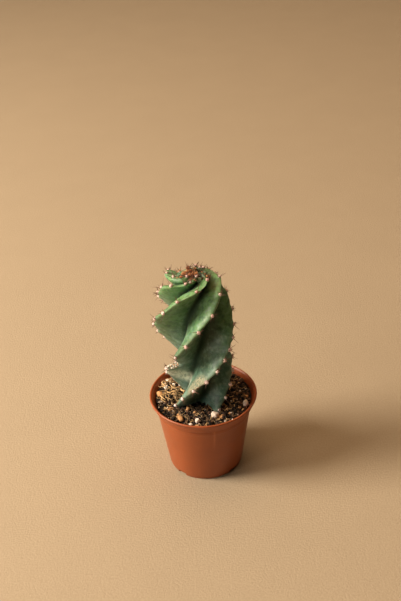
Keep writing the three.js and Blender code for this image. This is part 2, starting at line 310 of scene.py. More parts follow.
def tube(path, radii, sides):
    """Points and faces of a closed tapering tube along a short path."""
    path = np.asarray(path, float)
    ahead = unit(np.gradient(path, axis=0))
    side = unit(np.cross(ahead, (0.31, 0.22, 0.93)))
    up = np.cross(ahead, side)
    turns = np.arange(sides) / sides * math.tau
    rings = [
        p + r * (np.outer(np.cos(turns), s) + np.outer(np.sin(turns), u))
        for p, s, u, r in zip(path, side, up, radii)
    ]
    points = np.concatenate(rings + [path[:1], path[-1:]])
    return points, ring_faces(len(path), sides)


def lump(size, stretch, roughness, seed, detail=2):
    """Points and faces of an irregular grain about the origin."""
    mesh = bmesh.new()
    bmesh.ops.create_icosphere(mesh, subdivisions=detail, radius=1)
    points = np.array([v.co for v in mesh.verts])
    faces = [[v.index for v in f.verts] for f in mesh.faces]
    mesh.free()
    rough = 1 + roughness * cloud(points, 0.8, seed) + 0.4 * roughness * cloud(points, 0.3, seed + 3)
    return points * rough[:, None] * np.asarray(stretch) * size, faces


def turned(points, seed):
    """The points turned to a repeatable random direction."""
    turn = Matrix.Identity(3)
    for k, axis in ((0.1, "X"), (0.2, "Y"), (0.3, "Z")):
        turn = turn @ Matrix.Rotation(draw(seed + k) * math.tau, 3, axis)
    return points @ np.array(turn).T


# Materials


class Paint:
    """A node material with short names for the nodes that the finishes share."""

    def __init__(self, name):
        self.material = bpy.data.materials.new(name)
        self.material.use_nodes = True
        self.nodes = self.material.node_tree.nodes
        self.links = self.material.node_tree.links
        self.shader = self.nodes["Principled BSDF"]
        self.place = self.nodes.new("ShaderNodeTexCoord").outputs["Object"]

    def put(self, value, socket):
        if isinstance(value, bpy.types.NodeSocket):
            self.links.new(value, socket)
        elif isinstance(value, (tuple, list)) and len(value) == 3 and socket.type == "RGBA":
            socket.default_value = (*value, 1)
        else:
            socket.default_value = value

    def put_all(self, node, values):
        """Each value on the input of its name, where an underscore stands for a space."""
        for name, value in values.items():
            if value is not None:
                self.put(value, node.inputs[name.replace("_", " ")])

    def node(self, kind, output, **values):
        node = self.nodes.new("ShaderNode" + kind)
        self.put_all(node, values)
        return node.outputs[output]

    def vector(self, x, y=0.0, z=0.0):
        return self.node("CombineXYZ", "Vector", X=x, Y=y, Z=z)

    def noise_in(self, place, size, detail, rough):
        """Noise at the given place, with features of about size in that place's own unit."""
        return self.node("TexNoise", "Fac", Vector=place, Scale=1 / size, Detail=detail, Roughness=rough)

    def noise(self, size, detail=3, rough=0.55, stretch=None):
        """Noise on the object, with features of about size millimetres."""
        place = self.place
        if stretch:
            place = self.node("Mapping", "Vector", Vector=place, Scale=stretch)
        return self.noise_in(place, size * MM, detail, rough)

    def cells(self, size):
        return self.node("TexVoronoi", "Distance", Vector=self.place, Scale=1 / (size * MM))

    def value(self, name):
        node = self.nodes.new("ShaderNodeAttribute")
        node.attribute_name = name
        return node.outputs["Fac"]

    def math(self, kind, a, b=0.0, clamp=False):
        node = self.nodes.new("ShaderNodeMath")
        node.operation = kind
        node.use_clamp = clamp
        self.put(a, node.inputs[0])
        self.put(b, node.inputs[1])
        return node.outputs[0]

    def times(self, a, b):
        return self.math("MULTIPLY", a, b)

    def range(self, value, low, high, out_low=0.0, out_high=1.0):
        node = self.nodes.new("ShaderNodeMapRange")
        node.interpolation_type = "SMOOTHSTEP"
        self.put_all(node, dict(Value=value, From_Min=low, From_Max=high, To_Min=out_low, To_Max=out_high))
        return node.outputs["Result"]

    def mix(self, share, a, b):
        node = self.nodes.new("ShaderNodeMix")
        node.data_type = "RGBA"
        self.put_all(node, dict(Factor=share, A=a, B=b))
        return node.outputs["Result"]

    def ramp(self, value, *stops):
        node = self.nodes.new("ShaderNodeValToRGB")
        self.links.new(value, node.inputs["Fac"])
        elements = node.color_ramp.elements
        while len(elements) < len(stops):
            elements.new(0.5)
        for element, (at, colour) in zip(elements, stops):
            element.position = at
            element.color = (*colour, 1)
        return node.outputs["Color"]

    def bump(self, height, depth, normal=None):
        """Relief of the given depth in millimetres."""
        return self.node("Bump", "Normal", Distance=depth * MM, Height=height, Normal=normal)

    def finish(self, colour, roughness, normal=None, **others):
        self.put_all(self.shader, dict(Base_Color=colour, Roughness=roughness, Normal=normal, **others))
        return self.material


def pot_plastic():
    paint = Paint("pot_plastic")
    mottle = paint.noise(9, 4)
    grain = paint.noise(0.35, 2)
    base = paint.mix(paint.range(mottle, 0.35, 0.7), (0.29, 0.068, 0.018), (0.325, 0.079, 0.022))
    base = paint.mix(paint.times(paint.value("seam"), 0.4), base, (0.62, 0.2, 0.08))
    # Painted shadow under the collar's step
    base = paint.mix(paint.times(paint.value("painted_collar_shadow"), 0.5), base, (0.12, 0.03, 0.012))
    # Dust on the inside walls, darkened further as painted shade inside the pot
    dust_and_shade = paint.times(paint.value("inside"), paint.range(paint.noise(2.2, 5), 0.35, 0.65))
    base = paint.mix(paint.times(dust_and_shade, 0.75), base, (0.07, 0.03, 0.014))
    scuffs = paint.range(paint.noise(1.6, 5, 0.7), 0.68, 0.78)
    base = paint.mix(paint.times(scuffs, 0.2), base, (0.62, 0.26, 0.13))
    roughness = paint.range(mottle, 0.3, 0.7, 0.36, 0.48)
    normal = paint.bump(grain, 0.02)
    normal = paint.bump(paint.noise(3.5, 3), 0.08, normal)
    return paint.finish(base, roughness, normal, Subsurface_Weight=0.06, Subsurface_Scale=0.001)


def grown_colour(paint, rise, mottle, fine, lines):
    """Grey-blue and waxy below and fresh green above, with mottling, growth lines and pale crests, partly a
    painted highlight.
    """
    to_crest = paint.value("to_crest")
    drift = paint.noise(8, 4, 0.6)
    age = paint.math("ADD", rise, paint.times(paint.math("SUBTRACT", drift, 0.5), 0.7))
    body = paint.ramp(
        age,
        (0.0, (0.058, 0.158, 0.112)),
        (0.3, (0.058, 0.14, 0.094)),
        (0.55, (0.06, 0.155, 0.07)),
        (1.0, (0.14, 0.32, 0.1)),
    )
    body = paint.mix(paint.range(mottle, 0.36, 0.5, 0.75, 0.0), body, (0.026, 0.08, 0.048))
    body = paint.mix(paint.range(mottle, 0.5, 0.64, 0.0, 0.65), body, (0.19, 0.31, 0.22))
    body = paint.mix(paint.range(lines, 0.5, 0.75, 0.0, 0.4), body, (0.16, 0.25, 0.17))
    body = paint.mix(paint.range(lines, 0.28, 0.45, 0.4, 0.0), body, (0.03, 0.08, 0.042))
    # Paler skin near the crests, partly a painted highlight
    pale_crest_and_highlight = paint.ramp(rise, (0.0, (0.2, 0.27, 0.19)), (0.5, (0.18, 0.25, 0.145)), (1.0, (0.15, 0.27, 0.1)))
    near_crest = paint.range(to_crest, 0.0, 3.0, 0.75, 0.0)
    edge_share = paint.times(near_crest, paint.range(fine, 0.3, 0.6, 0.3, 0.9))
    body = paint.mix(edge_share, body, pale_crest_and_highlight)
    # Waxy bloom, rubbed off in streaks
    bloom = paint.range(paint.noise(6, 6, 0.7, (1, 1, 0.5)), 0.47, 0.63)
    return paint.mix(paint.times(bloom, paint.range(rise, 0.0, 1.0, 0.38, 0.14)), body, (0.22, 0.36, 0.34))


def shaded_colour(paint, body, rise, mottle, to_groove):
    """Painted shade: shadowed hollows, teal below and olive above, shaded grooves and a shaded foot."""
    # Painted shadow cast by the crest before onto the hollow of each upper flank
    shade = paint.times(paint.value("painted_shadow"), paint.range(mottle, 0.4, 0.6, 0.95, 0.62))
    painted_shadow = paint.ramp(rise, (0.2, (0.022, 0.075, 0.058)), (0.45, (0.022, 0.048, 0.014)))
    body = paint.mix(shade, body, painted_shadow)
    # Painted shade in the bottoms of the grooves
    body = paint.mix(paint.range(to_groove, 0.0, 4.4, 0.96, 0.0), body, (0.008, 0.032, 0.013))
    # Painted shade on the foot, in the given patches
    deep = paint.times(paint.value("deep"), paint.range(mottle, 0.4, 0.6, 0.65, 0.25))
    return paint.mix(deep, body, (0.02, 0.078, 0.055))


def weathered_colour(paint, body, cork, scaly):
    """Frosted patches, partly painted bounce light and sheen, dried patches, corky scars with dark specks,
    small pricks and brown blemishes.
    """
    streaks = paint.range(paint.noise(1.6, 6, 0.72, (1, 1, 0.4)), 0.4, 0.56, 0.45, 1.0)
    # Frosted skin, partly painted bounce light and sheen
    frost_and_painted_light = paint.times(paint.range(paint.value("frost_and_painted_light"), 0.1, 0.9), streaks)
    body = paint.mix(paint.times(frost_and_painted_light, 0.9), body, (0.62, 0.68, 0.57))
    dry = paint.times(paint.range(paint.value("dry"), 0.15, 0.8), streaks)
    body = paint.mix(paint.times(dry, 0.8), body, (0.13, 0.1, 0.045))
    cork_share = paint.math("MULTIPLY", paint.range(cork, 0.1, 0.7), paint.math("ADD", 0.25, scaly), True)
    body = paint.mix(cork_share, body, (0.4, 0.38, 0.26))
    scale_tone = paint.range(paint.noise(1.4, 5, 0.7), 0.42, 0.62)
    scale_colour = paint.mix(scale_tone, (0.06, 0.06, 0.04), (0.42, 0.4, 0.32))
    body = paint.mix(paint.times(paint.range(paint.value("ledge"), 0.35, 0.85), scaly), body, scale_colour)
    specks = paint.times(paint.range(paint.cells(1.1), 0.05, 0.25, 1.0, 0.0), paint.range(cork, 0.25, 0.8))
    body = paint.mix(paint.times(specks, 0.75), body, (0.11, 0.08, 0.045))
    body = paint.mix(paint.range(paint.cells(3.4), 0.03, 0.075, 0.75, 0.0), body, (0.09, 0.07, 0.035))
    blemish = paint.range(paint.noise(2.2, 5, 0.7), 0.66, 0.76, 0.0, 0.6)
    return paint.mix(blemish, body, (0.2, 0.16, 0.08))


def cactus_skin():
    paint = Paint("cactus_skin")
    rise, cork, to_groove = paint.value("rise"), paint.value("cork"), paint.value("to_groove")
    fine = paint.noise(1.2, 5, 0.65)
    mottle = paint.noise(2.6, 6, 0.68)
    scaly = paint.range(paint.noise(1.1, 6, 0.75), 0.4, 0.6)
    # Growth lines run across each flank, from its crest to the groove
    across = paint.vector(paint.value("along"), paint.times(paint.value("to_crest"), 0.16))
    lines = paint.noise_in(across, 0.9, 5, 0.6)
    body = grown_colour(paint, rise, mottle, fine, lines)
    body = shaded_colour(paint, body, rise, mottle, to_groove)
    body = weathered_colour(paint, body, cork, scaly)
    # Waxy, but dull in the grooves
    wax = paint.range(paint.noise(2.5, 4), 0.3, 0.7, 0.4, 0.56)
    roughness = paint.math("MAXIMUM", wax, paint.range(to_groove, 0.5, 4.0, 0.95, 0.4))
    normal = paint.bump(fine, 0.12)
    normal = paint.bump(lines, 0.1, normal)
    normal = paint.bump(paint.noise(0.35, 3), 0.03, normal)
    normal = paint.bump(paint.times(scaly, cork), 0.25, normal)
    return paint.finish(
        body, roughness, normal, Subsurface_Weight=0.1, Subsurface_Scale=0.0015, Sheen_Weight=0.05
    )


def toned(name, dark, light, roughness, size=0.7, depth=0.08, **others):
    """A finish whose colour goes from dark to light with each grain's own tone."""
    paint = Paint(name)
    tone = paint.math("ADD", paint.value("tone"), paint.times(paint.noise(size, 4), 0.5))
    colour = paint.mix(paint.range(tone, 0.2, 1.3), dark, light)
    normal = paint.bump(paint.noise(size * 0.5, 4), depth)
    return paint.finish(colour, roughness, normal, **others)


def soil_material():
    paint = Paint("peat")
    colour = paint.ramp(
        paint.noise(1.1, 6, 0.7),
        (0.34, (0.003, 0.002, 0.0015)),
        (0.58, (0.009, 0.005, 0.003)),
        (0.72, (0.026, 0.014, 0.008)),
        (0.85, (0.07, 0.04, 0.022)),
    )
    return paint.finish(colour, 0.95, paint.bump(paint.noise(0.8, 6, 0.75), 0.7))


def spine_material():
    paint = Paint("spines")
    along = paint.value("tone")
    colour = paint.ramp(
        along,
        (0.0, (0.36, 0.15, 0.1)),
        (0.25, (0.22, 0.085, 0.052)),
        (0.65, (0.1, 0.04, 0.026)),
        (1.0, (0.055, 0.025, 0.018)),
    )
    return paint.finish(colour, 0.45)


def floor_material():
    paint = Paint("floor")
    colour = paint.mix(paint.noise(40, 3), (0.375, 0.305, 0.215), (0.405, 0.33, 0.232))
    grain = paint.noise(1.1, 4, 0.7)
    colour = paint.mix(paint.range(grain, 0.35, 0.65, 0.0, 0.22), colour, (0.27, 0.205, 0.135))
    return paint.finish(colour, 0.85, paint.bump(grain, 0.25))


# Stem


def station(key, s):
    """A station value at any place between the stations, on a smooth curve through them."""
    table = np.array([row[key] for row in STATIONS], float)
    s = np.asarray(s, float)
    i = np.clip(np.floor(s).astype(int), 0, LAST - 1)
    u = s - i
    a, b, c, d = (table[np.clip(i + k, 0, LAST)] for k in (-1, 0, 1, 2))
    return b + 0.5 * u * (c - a + u * (2 * a - 5 * b + 4 * c - d + u * (3 * (b - c) + d - a)))


def rib_reach(rib, height):
    foot, middle, top = RIBS[rib][1]
    low = foot + (middle - foot) * smoothstep(height, RIB_FOOT, RIB_MIDDLE)
    high = middle + (top - middle) * smoothstep(height, RIB_MIDDLE, RIB_TOP)
    return 1 + np.where(height < RIB_MIDDLE, low, high)


def stem_centre(height):
    u = np.clip((height - RIB_FOOT) / (RIB_TOP - RIB_FOOT), 0, 1)
    return LEAN_AT_SOIL + (LEAN_AT_TIP - LEAN_AT_SOIL) * u


def crest_radius(rib, s):
    height = station(HEIGHT, s)
    radius = np.maximum(station(CREST, s) * rib_reach(rib, height), station(GROOVE, s) * 1.04)
    if rib == NICK_RIB:
        length = np.where(height < NICK_HEIGHT, NICK_BELOW, NICK_ABOVE)
        radius = radius - NICK_DEPTH * np.exp(-(((height - NICK_HEIGHT) / length) ** 2))
    return radius


def crest_point(rib, s):
    height = station(HEIGHT, s)
    angle = np.radians(RIBS[rib][0] + station(TURN, s))
    radius = crest_radius(rib, s)
    x = stem_centre(height) + radius * np.cos(angle)
    return np.stack([x, radius * np.sin(angle), height + 0 * x], -1)


def flank(rib, s, side, groove, steps):
    """Level points of one flank at each height, from the rounded crest down to the groove."""
    radius = crest_radius(rib, s)
    angle = np.radians(RIBS[rib][0] + station(TURN, s))
    out = np.stack([np.cos(angle), np.sin(angle)], -1)
    across = np.stack([-out[:, 1], out[:, 0]], -1) * side
    half = station(HALF, s)[:, None]
    height = station(HEIGHT, s)
    spare = LOST_TO_ROUNDING * rounding(height) * smoothstep(radius, 6, 12)
    crest = out * (radius + spare)[:, None]
    under = side > 0
    full = smoothstep(height, FULL_FROM, FULL_TO) * smoothstep(radius, 4, 9)
    full = (full if under and rib == FULL_RIB else 0 * full)[:, None]
    foot = FOOT_SHOULDER * (1 - smoothstep(height, OLD_BELOW, YOUNG_ABOVE))[:, None]
    width = half * ((UNDER_SHOULDER + foot) if under else UPPER_SHOULDER) + FULL_SHOULDER * full
    shoulder = crest + across * width
    waist = shoulder + (groove - shoulder) * ((UNDER_WAIST if under else UPPER_WAIST) - FULL_WAIST * full)
    waist = waist + across * ((station(BULGE, s)[:, None] if under else 0) + FULL_BULGE * full)
    u = np.asarray(steps)[None, :, None]
    a, b, c, d = (p[:, None, :] for p in (crest, shoulder, waist, groove))
    return a * (1 - u) ** 3 + 3 * b * u * (1 - u) ** 2 + 3 * c * u * u * (1 - u) + d * u**3


def stem_rings(s):
    """Points of the stem's skin at each place between the stations, ring by ring."""
    height, sink = station(HEIGHT, s), station(SINK, s)
    turn, deep, share = station(TURN, s), station(GROOVE, s), station(SHARE, s)
    under_steps = (1 - np.cos(np.linspace(0, math.pi, UNDER_POINTS + 1)))[:-1] / 2
    upper_steps = (1 - np.cos(np.linspace(0, math.pi, UPPER_POINTS + 1)))[:0:-1] / 2
    columns = []
    for rib in range(len(RIBS)):
        following = (rib + 1) % len(RIBS)
        gap = (RIBS[following][0] - RIBS[rib][0]) % 360
        angle = np.radians(RIBS[rib][0] + gap * share + turn)
        groove = np.stack([np.cos(angle), np.sin(angle)], -1) * deep[:, None]
        for points, steps in (
            (flank(rib, s, 1, groove, under_steps), under_steps),
            (flank(following, s, -1, groove, upper_steps), upper_steps),
        ):
            low = height[:, None] - sink[:, None] * steps[None, :] ** 2
            columns.append(np.concatenate([points, low[..., None]], -1))
    rings = np.concatenate(columns, 1)
    rings[..., 0] += stem_centre(height)[:, None]
    return rings


def length_along(line):
    return np.concatenate([[0], np.cumsum(np.linalg.norm(np.diff(line, axis=0), axis=1))])


def areoles():
    """(rib, place between the stations, point) for each areole, evenly spaced along the crests."""
    found = []
    s = SOIL_STATION + (LAST - SOIL_STATION) * np.arange(601) / 600
    for rib, (_, _, first, spacing, swell) in enumerate(RIBS):
        line = crest_point(rib, s)
        along = length_along(line)
        count, after = 0, first
        for k in range(1, len(s)):
            if along[k] >= after and s[k] < LAST - 0.7:
                if line[k, 2] > SOIL_HEIGHT + 1:
                    found.append((rib, s[k], line[k]))
                count += 1
                after = first + spacing * count + swell * math.sin(count * math.pi / 6)
    return found


def young_areoles(older):
    """(rib, place between the stations, point) for the crowded areoles round the growing tip."""
    found = []
    s = np.linspace(YOUNG_FROM, YOUNG_TO, 160)
    for rib in range(len(RIBS)):
        line = crest_point(rib, s)
        along = length_along(line)
        after = 0.6 + 0.9 * draw(rib)
        while after < along[-1]:
            i = int(np.searchsorted(along, after))
            if min(np.linalg.norm(line[i] - place) for _, _, place in older) > YOUNG_CLEAR:
                found.append((rib, s[i], line[i]))
            after += 1.9 + 1.1 * draw(rib * 7.7 + after)
    return found


def outward_at(point, s):
    height = float(station(HEIGHT, s))
    level = unit((point[0] - stem_centre(height), point[1], 0))
    rise = float(smoothstep(height, 96, RIB_TOP))
    return unit(level * (1 - 0.75 * rise) + (0, 0, 0.15 + rise))


def rounding(height):
    """How far the crests are rounded off: further near the foot, where the ribs are old."""
    return ROUNDING + FOOT_ROUNDING * (1 - smoothstep(height, OLD_BELOW, YOUNG_ABOVE))


def rounded(rings, reaches):
    """Each ring with its crests and grooves rounded off over a length along it."""
    steps = np.linalg.norm(np.roll(rings, -1, 1) - rings, axis=-1)
    along = np.cumsum(steps, 1) - steps
    share = (steps + np.roll(steps, 1, 1)) / 2
    result = np.empty_like(rings)
    for row, (place, total, weight, reach) in enumerate(zip(along, steps.sum(1), share, reaches)):
        away = np.abs(place[:, None] - place[None, :])
        away = np.minimum(away, total - away)
        pull = np.exp(-((away / reach) ** 2)) * weight[None, :]
        result[row] = pull @ rings[row] / pull.sum(1)[:, None]
    return result


def near(points, place, size):
    return np.exp(-((np.linalg.norm(points - np.asarray(place), axis=-1) / size) ** 2))


def away_along(rings, columns):
    """Distance of each point, along its ring, from the nearest of the given columns."""
    steps = np.linalg.norm(np.roll(rings, -1, 1) - rings, axis=-1)
    along = np.cumsum(steps, 1) - steps
    total = steps.sum(1)[:, None]
    gaps = [np.abs(along - along[:, column : column + 1]) for column in columns]
    return np.minimum.reduce([np.minimum(gap, total - gap) for gap in gaps])


def near_all(points, patches):
    return sum(strength * near(points, place, size) for place, size, strength in patches)


def painted_shadows(to_groove, heights, rows):
    """How dark each point is in the painted shadow on the hollow of an upper flank, which is deeper beside
    the wound's rib.
    """
    rib, point = np.divmod(np.arange(len(RIBS) * RIB_POINTS), RIB_POINTS)
    reach = np.where(rib == NICK_RIB, WOUND_SHADOW_REACH, SHADOW_REACH)
    painted_shadow = np.tile(point >= UNDER_POINTS, rows) * (1 - smoothstep(to_groove, 1, np.tile(reach, rows)))
    return painted_shadow * smoothstep(heights, SHADOW_FROM, SHADOW_TO)


def make_stem(places, young_places):
    buried = np.linspace(0, SOIL_STATION - 0.3, BURIED_RINGS)
    s = np.concatenate([buried, np.linspace(SOIL_STATION - 0.25, LAST, STEM_RINGS)])
    rings = rounded(stem_rings(s), rounding(station(HEIGHT, s)))
    rows, count = rings.shape[:2]
    points = rings.reshape(-1, 3)
    around = np.roll(rings, -1, 1) - np.roll(rings, 1, 1)
    out = unit(np.cross(around, np.gradient(rings, axis=0))).reshape(-1, 3)
    starts = [rib * RIB_POINTS for rib in range(len(RIBS))]
    to_crest = away_along(rings, starts).reshape(-1)
    to_groove = away_along(rings, [start + UNDER_POINTS for start in starts]).reshape(-1)
    # Painted shadow on the hollows of the upper flanks
    painted_shadow = painted_shadows(to_groove, points[:, 2], rows)
    rise = np.clip((points[:, 2] - SOIL_HEIGHT) / (RIB_TOP - SOIL_HEIGHT), 0, 1)
    # Uneven growth, and a swelling under each areole with a dent above it
    move = 0.32 * cloud(points, 9) + 0.12 * cloud(points, 3, 2)
    move *= smoothstep(points[:, 2], 30, 44)
    for rib, place_s, place in places:
        above = crest_point(rib, min(place_s + 0.16, LAST))
        move += 0.45 * near(points, place, 1.8) - 0.3 * near(points, above, 1.6)
    for _, _, place in young_places:
        move += 0.55 * near(points, place, 1.2)
    # Corky skin on the wound's ledge and along the crest of the rib in front
    ledge = 1.5 * near(points, LEDGE_PLACE, LEDGE_SIZE) * smoothstep(out[:, 2], -0.25, 0.3)
    front = near(points, crest_point(NICK_RIB + 1, 5.55) + (-2.5, -0.5, 1.0), 5.2)
    front += 0.8 * near(points, crest_point(NICK_RIB + 1, 5.15) + (-1.5, 0, 1.0), 4.0)
    move += np.clip(ledge, 0, 1) * (0.55 * cloud(points, 1.5, 5) + 0.3 * cloud(points, 0.6, 6))
    values = {
        "rise": rise,
        "to_crest": to_crest,
        "to_groove": to_groove,
        "along": np.repeat(station(HEIGHT, s), count),
        "cork": np.clip(ledge + front, 0, 1),
        # Frosted skin, partly painted bounce light and sheen
        "frost_and_painted_light": near_all(points, FROST_AND_PAINTED_LIGHT),
        "painted_shadow": painted_shadow,
        "dry": near_all(points, DRY),
        # Painted shade on the foot
        "deep": np.clip(near_all(points, PAINTED_FOOT_SHADE), 0, 1),
        "ledge": np.clip(ledge, 0, 1),
    }
    points = points + out * move[:, None]
    foot = [stem_centre(0.0), 0, STATIONS[0][HEIGHT] - 1.2]
    tip = [stem_centre(RIB_TOP), 0, STATIONS[LAST][HEIGHT] + 0.1]
    skin = np.concatenate([points, [foot, tip]])
    stem = build("cactus_stem", skin, ring_faces(rows, count), cactus_skin(), "cactus")
    at_tip = {"rise": 1, "along": RIB_TOP}
    for name, row in values.items():
        set_values(stem, name, np.concatenate([row, (0, at_tip.get(name, 0))]))
    return points, out, ledge


def spine_direction(outward, turn, spread):
    side = unit(np.cross((0, 0, 1), outward)) if abs(outward[2]) < 0.999 else np.array([1.0, 0, 0])
    up = np.cross(outward, side)
    tilt = side * math.cos(turn) + up * math.sin(turn)
    return unit(outward * math.cos(spread) + tilt * math.sin(spread))


def add_spine(bag, root, direction, length, thickness, seed):
    bend = unit(np.cross(direction, (draw(seed), draw(seed + 0.5), 0.3)))
    t = np.linspace(0, 1, 6)
    path = root + np.outer(t * (length + 0.6) - 0.6, direction) + np.outer(0.04 * length * t * t, bend)
    points, faces = tube(path, thickness * (1 - 0.85 * t**1.5), 6)
    tone = np.concatenate([np.repeat(t, 6), [0, 1]])
    bag.add(points, faces, tone)


def add_spines(bag, root, outward, seed, scale, extra):
    """The long spines that the solids have too, and some finer ones between them."""
    for j in range(SPINES_EACH + extra):
        n = seed * SPINES_EACH + j if j < SPINES_EACH else 3000 + seed * 7 + j
        part = (j if j < SPINES_EACH else j + 0.5) / SPINES_EACH
        turn = (part + 0.5 / SPINES_EACH * draw(n)) * math.tau
        spread = math.radians(38 + 30 * draw(n + 0.3))
        length = (SHORTEST_SPINE + (LONGEST_SPINE - SHORTEST_SPINE) * draw(n + 0.6)) * scale
        if j >= SPINES_EACH:
            length *= 0.72
        direction = spine_direction(outward, turn, spread)
        if root[2] + direction[2] * length < SOIL_HEIGHT + TIPS_ABOVE_SOIL:
            direction = unit(direction * (1, 1, 0) + (0, 0, abs(direction[2]) + 0.2))
        add_spine(bag, root, direction, 1.1 * length, 0.13 + 0.06 * draw(n + 0.9), n)


def add_tuft(wool, hairs, place, outward, size, seed, tone, count=TUFT_HAIRS, shag=1.0):
    """A felted pad with short hairs standing round it."""
    points, faces = lump(size * (1.3 - 0.3 * shag), (1, 1, 0.8), 0.22, seed)
    wool.add(turned(points, seed) + place + outward * 0.15 * size, faces, tone)
    for k in range(count):
        n = seed * 31 + k
        direction = spine_direction(outward, draw(n) * math.tau, math.radians(15 + 65 * draw(n + 0.4)))
        start = place + direction * size * 0.75
        length = shag * size * (0.35 + 0.4 * draw(n + 0.7))
        curl = unit(np.cross(direction, (draw(n + 0.2), 0.4, draw(n + 0.5))))
        t = np.linspace(0, 1, 4)
        path = start + np.outer(t * length, direction) + np.outer(0.4 * length * t * t, curl)
        tube_points, tube_faces = tube(path, 0.055 * (1 - 0.6 * t), 3)
        hairs.add(tube_points, tube_faces, tone + 0.2 * draw(n + 0.8))


def make_areoles(places, young_places):
    wool, hairs, spines = Bag(), Bag(), Bag()
    for n, (_, s, point) in enumerate(places):
        outward = outward_at(point, s)
        size = 0.96 - 0.16 * float(smoothstep(point[2], 104, RIB_TOP))
        pale = 0.5 * draw(n + 0.5) + 0.5 * (1 - float(smoothstep(point[2], 46, 62)))
        add_tuft(wool, hairs, point + outward * 0.25, outward, size * (0.9 + 0.25 * draw(n)), n, pale)
        add_spines(spines, point, outward, n, 1, 4)
    crown(wool, hairs, spines, young_places)
    light = toned("areole_wool", (0.66, 0.45, 0.41), (0.97, 0.86, 0.84), 0.9, 0.3, 0.12)
    wool.build("areole_wool", light, "cactus_skin", "cactus")
    hairs.build("areole_hairs", light, "cactus_skin", "cactus")
    spines.build("spines", spine_material(), "cactus_skin", "cactus")


def crown(wool, hairs, spines, young_places):
    """The growing tip: young areoles close together along each rib, round a heart of rusty wool."""
    young, young_hairs, knobs = Bag(), Bag(), Bag()
    centre = np.array(WOOL_CENTRE)
    for k, (_, s, point) in enumerate(young_places):
        n = 420 + k
        outward = outward_at(point, s)
        rusty = np.linalg.norm(point - centre) < WOOL_REACH
        pale = not rusty and draw(n + 0.6) < 0.3
        bags = (wool, hairs) if pale else (young, young_hairs)
        size = (0.48 if rusty or pale else 0.22) + 0.2 * draw(n)
        count, shag = (50, 2) if rusty else (TUFT_HAIRS, 1)
        add_tuft(*bags, point + 0.35 * outward, outward, size, n, draw(n + 0.3), count, shag)
        add_spines(spines, point, outward, 100 + n, 0.9 - 0.2 * draw(n + 0.8), 3)
    for k, (x, y, z, size) in enumerate(KNOBS):
        place = np.array([x, y, z])
        points, faces = lump(size, (1.15, 1, 0.85), 0.28, 60 + k, 3)
        knobs.add(points + place, faces, draw(k + 0.7))
        outward = unit(place - centre + (0, 0, 5.0))
        top = place + 0.95 * size * outward
        felt = wool if k % 3 == 1 else young
        add_tuft(felt, young_hairs, top, outward, 0.5 + 0.25 * draw(k), 900 + k, draw(k + 0.3), 50, 2)
        add_spines(spines, top, outward, 760 + k, 0.85, 2)
    for k in range(WOOL_TUFTS):
        away, turn = 0.95 * WOOL_RADIUS * math.sqrt((k + 0.5) / WOOL_TUFTS), k * GOLDEN_TURN
        place = centre + (away * math.cos(turn), away * math.sin(turn), 0.8 - 0.1 * away * away)
        outward = unit(place - centre + (0, 0, 3.0))
        add_tuft(young, young_hairs, place, outward, 0.5 + 0.4 * draw(k), 800 + k, draw(k + 0.3), 70, 2.2)
        if k % 2:
            add_spines(spines, place, outward, 700 + k, 0.75, 1)
    rust = toned("crown_wool", (0.24, 0.07, 0.026), (0.76, 0.35, 0.15), 0.9, 0.3, 0.12)
    young.build("crown_wool", rust, "cactus_skin", "cactus")
    young_hairs.build("crown_hairs", rust, "cactus_skin", "cactus")
    green = toned("crown_knobs", (0.06, 0.16, 0.08), (0.2, 0.36, 0.22), 0.5, 1.6, 0.06)
    knobs.build("crown_knobs", green, "cactus_skin", "cactus")


def make_scales(skin, outward, ledge):
    """Dry whitish scales and a few tan flakes that curl up from the old wound."""
    scales = Bag()
    spots = np.flatnonzero(ledge > 0.5)
    for n in range(SCALES):
        spot = spots[int(draw(n + 0.5) * len(spots))]
        tan = draw(n + 0.15) < (0.5 if skin[spot][0] > TAN_FROM else 0.12)
        size = 0.24 + 0.42 * draw(n + 0.25) ** 2
        points, faces = lump(size, (1, 0.45 + 0.4 * draw(n), 0.4), 0.4, n)
        lean = Vector(outward[spot] + 0.9 * (np.array([draw(n + k) for k in (0.1, 0.2, 0.3)]) - 0.5))
        frame_turn = lean.to_track_quat("Z", "Y").to_matrix() @ Matrix.Rotation(6.28 * draw(n + 0.4), 3, "Z")
        tone = 0.1 + 0.25 * draw(n + 0.6) if tan else 0.75 + 0.35 * draw(n + 0.6)
        scales.add(points @ np.array(frame_turn).T + skin[spot] + 0.2 * outward[spot], faces, tone)
    finish = toned("scar_scales", (0.48, 0.22, 0.08), (0.76, 0.74, 0.64), 0.85, 0.5, 0.1)
    scales.build("scar_scales", finish, "cactus_skin", "cactus")


# Potting mix


def soil_top(x, y):
    rough = np.sin(x * 1.7 + 3 * np.sin(y * 0.9)) * np.cos(y * 1.9 - 2 * np.sin(x * 0.7))
    r = np.hypot(x, y) / WALL_TOP_RADIUS
    heap = HEAP_HEIGHT * np.exp(-((x - HEAP[0]) ** 2 + (y - HEAP[1]) ** 2) / HEAP_RADIUS**2)
    return SOIL_HEIGHT + 0.3 * (1 - r * r) + 0.35 * rough + heap


